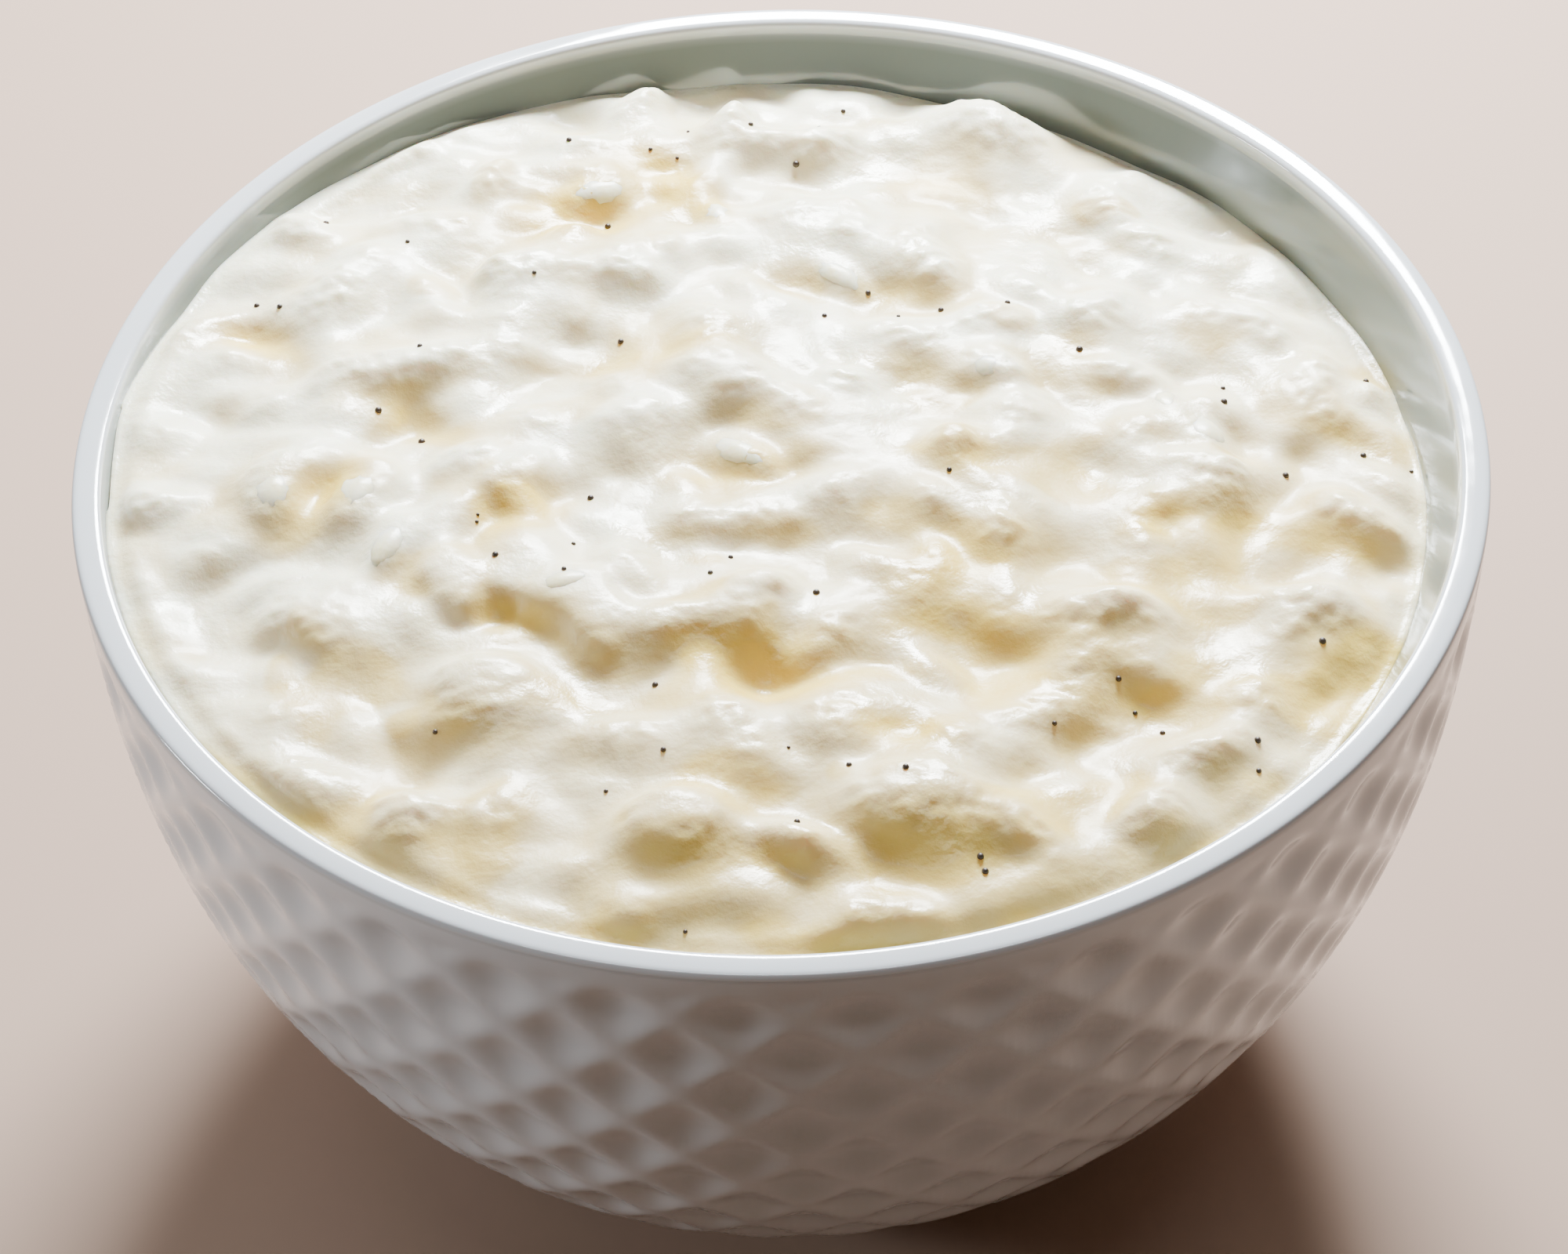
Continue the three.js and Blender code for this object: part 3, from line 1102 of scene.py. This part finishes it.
    def cream(self) -> Array:
        """The cream without grains: tilted level, mound, swirl, folds and the lumps that stand out.

        Returns:
            Its height over the raster.
        """
        share = self.radius / self.inner
        edge = self.edge_height(self.angle) + self.roll
        slope = self.tilt * share * np.cos(self.angle - self.low_side)
        flat = self.profile.rim_height - self.edge_depth - slope
        level = flat + self.mound * (1 - share**2)
        level += (edge - flat) * np.clip(share, 0, 1) ** self.edge_power
        x = self.x + self.warp * self.clouds(self.warp_size, (0, 9))
        y = self.y + self.warp * self.clouds(self.warp_size, (21, 0))
        phase = 2 * math.pi * np.hypot(x, y) / self.swirl_pitch + self.angle
        level += self.swirl_height * np.sin(phase) * self.inland
        narrow_fold, narrow_heap = self.fold_squash * self.fold_size, self.heap_squash * self.heap_size
        folds = self.noise.layered(x / self.fold_size, y / narrow_fold, 2, self.fold_gain)
        heaps = self.noise.at(x / self.heap_size + 11, y / narrow_heap + 3)
        heaped = self.heap_height * (np.hypot(heaps, self.heap_softness) - self.heap_level)
        level += (self.fold_height * folds + heaped) * self.inland * self.open_ground
        for lump in LUMPS:
            rise = lump.height * np.maximum(1 - self.lump_steepness * self.oval(lump), 0) ** self.lump_power
            lean = 1 + self.lean * np.clip((self.y - lump.y) / lump.width, -1, 1)
            level += rise * lean * self.inland
        for fold in FOLDS:
            level += self.fold_rise(fold)
        return level

    def fold_rise(self, fold: Fold) -> Array:
        """Height that one spoon ridge adds.

        Args:
            fold: The ridge.

        Returns:
            The added height over the raster.
        """
        span = math.radians(fold.to_angle - fold.from_angle)
        along = np.mod(self.angle - math.radians(fold.from_angle), 2 * math.pi) / span
        line = fold.from_radius + (fold.to_radius - fold.from_radius) * along
        line += self.fold_wander * self.clouds(9.0, (3, 0))
        across = (self.radius - line) / fold.width
        ends = smoothstep(0.0, 0.18, along) * smoothstep(1.0, 0.8, along)
        return fold.height * np.exp(-across * across) * ends * (0.75 + 0.5 * self.clouds(5.0))

    def scatter_grains(self) -> list[Grain]:
        """Grains at seeded places, no two too near, turned mostly along the stirring.

        Returns:
            The grains.
        """
        rng = np.random.default_rng(self.seed)
        grains: list[Grain] = []
        while len(grains) < self.grain_count:
            radius, angle = self.grain_reach * math.sqrt(rng.uniform()), rng.uniform(-math.pi, math.pi)
            x, y = radius * math.cos(angle), radius * math.sin(angle)
            draws = rng.uniform(size=6)
            if any(math.hypot(x - other.x, y - other.y) < self.grain_gap for other in grains):
                continue
            aside = (x - self.calm_place[0]) / self.calm_size[0]
            ahead = (y - self.calm_place[1]) / self.calm_size[1]
            sunk = self.sunk_if_calm * math.exp(-(aside**2 + ahead**2))
            sunk += self.sunk_by_lumps * (1 - float(self.sample(self.open_ground, x, y)))
            proud = self.least_proud + self.proud_range * draws[3] ** self.proud_power - sunk
            half_length = self.half_lengths[0] + (self.half_lengths[1] - self.half_lengths[0]) * draws[0]
            half_width = self.half_widths[0] + (self.half_widths[1] - self.half_widths[0]) * draws[1]
            turn = angle + math.pi / 2 + (draws[2] - 0.5) * self.turn_range
            dip = (draws[5] - 0.5) * self.dip_range
            z = self.sample(self.height, x, y) + proud - half_width
            bare = max(0.0, (draws[4] - 1.0 + self.bare_share) / self.bare_share)
            grains.append(Grain(x, y, z, half_length, half_width, turn, dip, bare))
        return grains

    def add_pits(self) -> None:
        """Sinks the pits and paints shade into them."""
        for pit in PITS:
            inside = np.exp(-1.3 * self.oval(pit) ** 1.2)
            self.height -= self.pit_share * pit.depth * inside
            # Painted shade in the pits.
            self.warmth_and_shade += pit.warmth_and_shade * np.exp(-0.6 * self.oval(pit))

    def add_grains(self) -> None:
        """Pushes the grains up through the cream, each with a fillet round it."""
        window, nowhere = 6.0, -1000.0
        for grain in self.grains:
            near = (np.abs(self.x - grain.x) < window) & (np.abs(self.y - grain.y) < window)
            dx, dy = self.x[near] - grain.x, self.y[near] - grain.y
            c, s = math.cos(grain.turn), math.sin(grain.turn)
            along, across = c * dx + s * dy, c * dy - s * dx
            square = (along / grain.half_length) ** 2 + (across / grain.half_width) ** 2
            back = grain.half_width * np.sqrt(np.maximum(1 - square, 0))
            top = np.where(square < 1, grain.z + along * math.tan(grain.dip) + back, nowhere)
            shown = smoothstep(-0.1, 0.5, top - self.height[near])
            self.warmth_and_shade[near] += self.bare_warmth * grain.bare * shown
            self.height[near] = soft_max(self.height[near], top, self.fillet)

    def add_wrinkles(self) -> None:
        """Fine wrinkles in patches, as drying cream has, and crumbs on the crests."""
        patch = smoothstep(0.0, 0.5, self.clouds(12.0, (31, 0)))
        crest = smoothstep(0.0, 0.8, self.height - self.blurred(self.height, 3.0))
        streaks = self.noise.layered(self.x / 3.0, self.y / 1.8, 2)
        crumbs = self.noise.layered(self.x / 1.7 + 7, self.y / 1.3 + 3, 2)
        relief = self.streak_height * patch * streaks + self.crumb_height * crest * crumbs
        self.height += relief * self.inland

    def add_shade_marks(self) -> None:
        """Works out wetness and painted shade: hollows, slopes turned from the light, broad zones and the
        front are painted warmer and darker.
        """
        hollow = self.blurred(self.height, 2.6) - self.height
        patch = 0.6 + 0.6 * self.clouds(16.0, (5, 2))
        lee = self.blurred(np.gradient(self.height, self.spacing, axis=0), 1.6)
        front = smoothstep(45, -45, self.y - 0.45 * self.x)
        zones = smoothstep(0.0, 0.32, self.clouds(10.0, (17, 8), 0.65))
        self.warmth_and_shade += self.painted_hollow_shade * smoothstep(-0.1, 1.0, hollow) * patch
        self.warmth_and_shade += self.painted_lee_shade * smoothstep(0.0, 0.6, lee) * (0.5 + patch) * (0.45 + 0.6 * front)
        self.warmth_and_shade += self.painted_zone_shade * zones * (0.50 + 0.5 * front) * smoothstep(0.9, -0.1, -hollow)
        self.warmth_and_shade += self.painted_front_shade * smoothstep(0.35, 1.0, front)
        # Less of the painted shade and tint close to the wall, except at the front.
        self.warmth_and_shade *= 0.35 + 0.65 * smoothstep(0.0, 3.0, self.inner - self.radius + 3.0 * front)
        self.warmth_and_shade = np.clip(self.warmth_and_shade, 0.0, 1.0)
        wet = 0.5 + 0.9 * self.clouds(7.0, (13, 0))
        wet += smoothstep(1.6, 0.4, self.inner - self.radius)
        self.wetness = np.clip(wet, 0.0, 1.0)

    def sample(self, values: Array, x: Array | float, y: Array | float) -> Array:
        """Values of a raster at points, blended between its cells.

        Args:
            values: The raster.
            x: Places in millimetres.
            y: Places in millimetres.

        Returns:
            The value at each point.
        """
        column, row = ((np.asarray(place) + self.reach) / self.spacing for place in (x, y))
        i, j = np.floor(row).astype(int), np.floor(column).astype(int)
        fi, fj = row - i, column - j
        low = values[i, j] * (1 - fj) + values[i, j + 1] * fj
        high = values[i + 1, j] * (1 - fj) + values[i + 1, j + 1] * fj
        return low * (1 - fi) + high * fi


@dataclass
class Pudding:
    """The filling: a closed body of cooked cream from its stirred top down to the bowl's floor."""

    profile: BowlProfile
    surface: StirredSurface
    finish: CreamFinish = field(default_factory=CreamFinish)
    rings: int = 164
    into_wall: float = 0.3
    off_wall: float = 0.2
    side_rings: int = 8
    bend_height: float = 60.3
    side_top: float = 55.0
    wall_reach: float = 50.0
    over_floor: float = 0.3
    hidden_warmth: float = 0.2
    hidden_wetness: float = 0.5

    def disc(self) -> tuple[Array, list[tuple[int, int, int]]]:
        """An even triangle net over a unit disc, ring by ring, six more points on each.

        Returns:
            Plane points and triangles; the last ring comes last.
        """
        points = [np.zeros((1, 2))]
        faces: list[tuple[int, int, int]] = []
        start, before = 1, 0
        for ring in range(1, self.rings + 1):
            turns = np.arange(6 * ring) * (2 * math.pi / (6 * ring))
            points.append(np.stack([np.cos(turns), np.sin(turns)], -1) * (ring / self.rings))
            for side in range(6):
                for k in range(ring):
                    outer = start + side * ring + k
                    after = start + (side * ring + k + 1) % (6 * ring)
                    inner = before + (side * (ring - 1) + k) % max(6 * (ring - 1), 1)
                    faces.append((outer, after, inner))
                    if k < ring - 1:
                        beyond = before + (side * (ring - 1) + k + 1) % (6 * (ring - 1))
                        faces.append((after, beyond, inner))
            start, before = start + 6 * ring, start
        return np.vstack(points), faces

    def build(self) -> bpy.types.Object:
        """Makes the pudding and puts it in the frame.

        Returns:
            The finished piece.
        """
        plane, faces = self.disc()
        surface = self.surface
        edge = surface.edge_radius(np.arctan2(plane[:, 1], plane[:, 0])) + self.into_wall
        x, y = plane[:, 0] * edge, plane[:, 1] * edge
        points = np.stack([x, y, surface.sample(surface.height, x, y)], -1)
        count = 6 * self.rings
        rim = len(points) - count
        turns = np.arange(count) * (2 * math.pi / count)
        floor = self.profile.rim_height - self.profile.floor_depth + self.over_floor
        last = rim
        sides = np.linspace(self.side_top, floor + 2.5, self.side_rings)
        levels = [np.minimum(self.bend_height, surface.edge_height(turns) - 0.5)]
        levels += [np.full(count, level) for level in sides]
        for height in levels:
            into = np.where(height > self.wall_reach, self.into_wall, -self.off_wall)
            radius = self.profile.wall_radius(height) + into
            ring = np.stack([radius * np.cos(turns), radius * np.sin(turns), height], -1)
            first = len(points)
            points = np.vstack([points, ring])
            faces += [(last + i, first + i, first + (i + 1) % count) for i in range(count)]
            faces += [(last + i, first + (i + 1) % count, last + (i + 1) % count) for i in range(count)]
            last = first
        pole = len(points)
        points = np.vstack([points, [[0.0, 0.0, floor]]])
        faces += [(last + (i + 1) % count, last + i, pole) for i in range(count)]
        shown = {Mark.WARMTH_AND_SHADE: (surface.warmth_and_shade, self.hidden_warmth),
                 Mark.WETNESS: (surface.wetness, self.hidden_wetness)}
        hidden = len(points) - len(plane)
        marks = {mark: np.append(surface.sample(values, x, y), np.full(hidden, below))
                 for mark, (values, below) in shown.items()}
        piece = mesh_piece("stirred_pudding", points, faces, marks)
        piece.data.materials.append(self.finish.material())
        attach(piece, "root")
        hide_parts("rice_pudding")
        return piece


@dataclass
class LooseGrains:
    """Rice grains that lie partly sunk in the top, with only a thin coat of cream.

    A grain is left out where too little of it would stand clear, or where it would hang over a slope.
    """

    surface: StirredSurface
    finish: GrainFinish = field(default_factory=GrainFinish)
    snug: float = 0.86
    least_proud: float = 0.08
    most_proud: float = 0.20
    deepest: float = -0.1
    most: int = 36
    jitter: float = 0.08
    taper: float = 0.15
    wobble: float = 0.22
    wobble_size: float = 2.5

    def places(self) -> bpy.types.Object:
        """One point for each grain, with its turn and half sizes.

        Returns:
            A piece with points alone.
        """
        rng = np.random.default_rng(self.surface.seed + 1)
        points, turns, sizes = [], [], []
        for grain in self.surface.grains:
            half = self.snug * np.array([grain.half_length, grain.half_width, grain.half_width])
            height = float(self.surface.sample(self.surface.height, grain.x, grain.y))
            proud = grain.z + grain.half_width - height
            rise = min(proud, self.most_proud) + rng.uniform(0.0, self.jitter)
            hangs = height + rise - half[2] - self.lowest_round(grain)
            if proud < self.least_proud or hangs > self.deepest or len(points) >= self.most:
                continue
            points.append((grain.x, grain.y, height + rise - half[2]))
            turns.append((0.0, -grain.dip, grain.turn))
            sizes.append(half * MM)
        marks = {Mark.TURN: np.array(turns), Mark.SIZE: np.array(sizes)}
        return mesh_piece("rice_grains", np.array(points), [], marks)

    def lowest_round(self, grain: Grain) -> float:
        """The lowest height of the cream round a grain's outline.

        Args:
            grain: The grain.

        Returns:
            The height in millimetres.
        """
        turns = np.arange(16) * (math.pi / 8)
        along, across = grain.half_length * np.cos(turns), grain.half_width * np.sin(turns)
        c, s = math.cos(grain.turn), math.sin(grain.turn)
        x, y = grain.x + c * along - s * across, grain.y + s * along + c * across
        return float(np.min(self.surface.sample(self.surface.height, x, y)))

    def tree(self) -> bpy.types.NodeTree:
        """The node tree that lays a tapered grain on every point.

        Returns:
            A tree with inputs for the grains' taper, their unevenness and their finish.
        """
        tree = node_tree("lay_grains", {"Taper": "Float", "Unevenness": "Float", "Finish": "Material"})
        graph = NodeGraph(tree)
        points, taper, uneven, finish = graph.node("NodeGroupInput").outputs[:4]
        ball = graph.node("GeometryNodeMeshUVSphere", Segments=14, Rings=10, Radius=1.0)
        x, y, z = graph.node("ShaderNodeSeparateXYZ", s0=graph.node("GeometryNodeInputPosition")).outputs
        slim = graph.math("SUBTRACT", 1.0, graph.math("MULTIPLY", taper, graph.math("MULTIPLY", z, z)))
        shape = graph.node("ShaderNodeCombineXYZ", X=z, Y=graph.math("MULTIPLY", x, slim),
                           Z=graph.math("MULTIPLY", y, slim))
        grain = graph.node("GeometryNodeSetPosition", Geometry=ball, Position=shape)
        turn = graph.node("FunctionNodeEulerToRotation", s0=graph.field(Mark.TURN, "FLOAT_VECTOR"))
        laid = graph.node("GeometryNodeInstanceOnPoints", Points=points, Instance=grain, Rotation=turn,
                          Scale=graph.field(Mark.SIZE, "FLOAT_VECTOR"))
        real = graph.node("GeometryNodeRealizeInstances", Geometry=laid)
        scale = 1.0 / (self.wobble_size * MM)
        clouds = graph.node("ShaderNodeTexNoise", Scale=scale, Detail=1.0).outputs["Color"]
        middle = (0.5, 0.5, 0.5)
        centred = graph.node("ShaderNodeVectorMath", {"operation": "SUBTRACT"}, s0=clouds, s1=middle)
        push = graph.node("ShaderNodeVectorMath", {"operation": "SCALE"}, Vector=centred, Scale=uneven)
        graph.give_out(graph.node("GeometryNodeSetPosition", Geometry=real, Offset=push), finish)
        return tree

    def build(self) -> bpy.types.Object:
        """Makes the grains and puts them in the frame.

        Returns:
            The finished piece.
        """
        values = {"Taper": self.taper, "Unevenness": 2 * self.wobble * MM,
                  "Finish": self.finish.material()}
        piece = grown(self.places(), self.tree(), values)
        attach(piece, "root")
        return piece


@dataclass
class VanillaSeeds:
    """Vanilla seeds sprinkled over the top, each half sunk."""

    pudding: bpy.types.Object
    finish: VanillaFinish = field(default_factory=VanillaFinish)
    radius: float = 0.34
    smallest: float = 0.45
    per_square_metre: float = 5600.0
    reach: float = 55.0
    least_rise: float = 0.6
    seed: int = 5

    def tree(self) -> bpy.types.NodeTree:
        """The node tree that sprinkles seeds on the faces that look up.

        Returns:
            A tree with inputs for the seeds' size, number, reach, slope, random seed and finish.
        """
        inputs = {"Seed Radius": "Float", "Smallest Share": "Float", "Density": "Float", "Reach": "Float",
                  "Least Rise": "Float", "Random Seed": "Int", "Finish": "Material"}
        tree = node_tree("sprinkle_seeds", inputs)
        graph = NodeGraph(tree)
        top, radius, smallest, density, reach, rise, seed, finish = graph.node("NodeGroupInput").outputs[:8]
        x, y, _ = graph.node("ShaderNodeSeparateXYZ", s0=graph.node("GeometryNodeInputPosition")).outputs
        out = graph.math("SQRT", graph.math("MULTIPLY_ADD", x, x, graph.math("MULTIPLY", y, y)))
        upward = graph.node("ShaderNodeSeparateXYZ", s0=graph.node("GeometryNodeInputNormal")).outputs[2]
        chosen = graph.math("MULTIPLY", graph.math("LESS_THAN", out, reach),
                            graph.math("GREATER_THAN", upward, rise))
        spread = graph.node("GeometryNodeDistributePointsOnFaces", Mesh=top, Selection=chosen,
                            Density=density, Seed=seed)
        size = graph.node("FunctionNodeRandomValue", s2=graph.math("MULTIPLY", radius, smallest), s3=radius,
                          s8=seed).outputs[1]
        ball = graph.node("GeometryNodeMeshIcoSphere", Radius=1.0, Subdivisions=2)
        laid = graph.node("GeometryNodeInstanceOnPoints", Points=spread, Instance=ball, Scale=size)
        graph.give_out(laid, finish)
        return tree

    def build(self) -> bpy.types.Object:
        """Makes the seeds and puts them in the frame.

        Returns:
            The finished piece.
        """
        piece = bpy.data.objects.new("vanilla_seeds", self.pudding.data.copy())
        bpy.context.scene.collection.objects.link(piece)
        values = {"Seed Radius": self.radius * MM, "Smallest Share": self.smallest,
                  "Density": self.per_square_metre, "Reach": self.reach * MM, "Least Rise": self.least_rise,
                  "Random Seed": self.seed, "Finish": self.finish.material()}
        piece = grown(piece, self.tree(), values)
        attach(piece, "root")
        return piece


# ---------------------------------------------------------------- stage


@dataclass
class Studio:
    """Plain pale floor, window light from behind and from the left, dim warm air, and the camera."""

    floor_size: float = 3.0
    air: tuple = (1.0, 0.74, 0.52, 1.0)
    air_strength: float = 0.115
    camera_distance: float = 0.3504
    camera_elevation: float = math.radians(45.4)
    camera_roll: float = math.radians(-1.78)
    aim: tuple = (-0.0001, 0.0, 0.0433)
    lens: float = 90.0
    sensor_width: float = 36.0

    def build(self) -> None:
        """Sets the floor, the lights and the camera."""
        self.floor()
        self.world()
        self.lamp("window", (0.045, 0.31, 0.275), (0.15, 0.11), 10.6, (0.90, 0.96, 1.0))
        self.lamp("side_window", (-0.57, -0.03, 0.165), (0.11, 0.06), 1.9, (0.86, 0.94, 1.0))
        self.lamp("ceiling_strip", (0.0, -0.12, 0.70), (0.50, 0.06), 1.2, (0.88, 0.95, 1.0))
        self.camera()

    def floor(self) -> None:
        """A flat square to stand on."""
        half = self.floor_size / 2 / MM
        square = np.array([[-half, -half, 0], [half, -half, 0], [half, half, 0], [-half, half, 0]], float)
        floor = mesh_piece("studio_floor", square, [(0, 1, 2, 3)])
        floor.data.materials.append(FloorFinish().material())

    def world(self) -> None:
        """Even dim light from all round."""
        world = bpy.data.worlds.new("studio_air")
        world.use_nodes = True
        air = world.node_tree.nodes["Background"]
        air.inputs[0].default_value = self.air
        air.inputs[1].default_value = self.air_strength
        bpy.context.scene.world = world

    def lamp(self, name: str, place: tuple, size: tuple, watts: float, colour: tuple) -> None:
        """A soft rectangular light aimed at the bowl.

        Args:
            name: The light's name.
            place: Where it hangs, in metres.
            size: Its width and height in metres.
            watts: Its power.
            colour: Its colour.
        """
        data = bpy.data.lights.new(name, "AREA")
        data.shape, data.size, data.size_y = "RECTANGLE", *size
        data.energy, data.color = watts, colour
        lamp = bpy.data.objects.new(name, data)
        lamp.location = place
        lamp.rotation_euler = (Vector(self.aim) - Vector(place)).to_track_quat("-Z", "Y").to_euler()
        bpy.context.scene.collection.objects.link(lamp)

    def camera(self) -> None:
        """The camera, above the eater's side, with the small tilt of a hand-held view."""
        ahead = Vector((0.0, math.cos(self.camera_elevation), -math.sin(self.camera_elevation)))
        right = Vector((1.0, 0.0, 0.0))
        up = right.cross(ahead)
        c, s = math.cos(self.camera_roll), math.sin(self.camera_roll)
        axes = (c * right + s * up, c * up - s * right, -ahead)
        data = bpy.data.cameras.new("camera")
        data.lens, data.sensor_width = self.lens, self.sensor_width
        camera = bpy.data.objects.new("camera", data)
        turn = Matrix([[axis[row] for axis in axes] for row in range(3)]).to_4x4()
        camera.matrix_world = Matrix.Translation(Vector(self.aim) - ahead * self.camera_distance) @ turn
        bpy.context.scene.collection.objects.link(camera)
        bpy.context.scene.camera = camera


def main() -> None:
    """Builds every piece in order and reports each one."""
    logging.basicConfig(level=logging.INFO, format="%(name)s: %(message)s")
    Studio().build()
    profile = BowlProfile()
    surface = StirredSurface(profile)
    pudding = Pudding(profile, surface).build()
    pieces = [Bowl(profile).build(), pudding, LooseGrains(surface).build(), VanillaSeeds(pudding).build()]
    for piece in pieces:
        LOG.info("%s: %d faces", piece.name, len(piece.data.polygons))


if __name__ == "__main__":
    main()
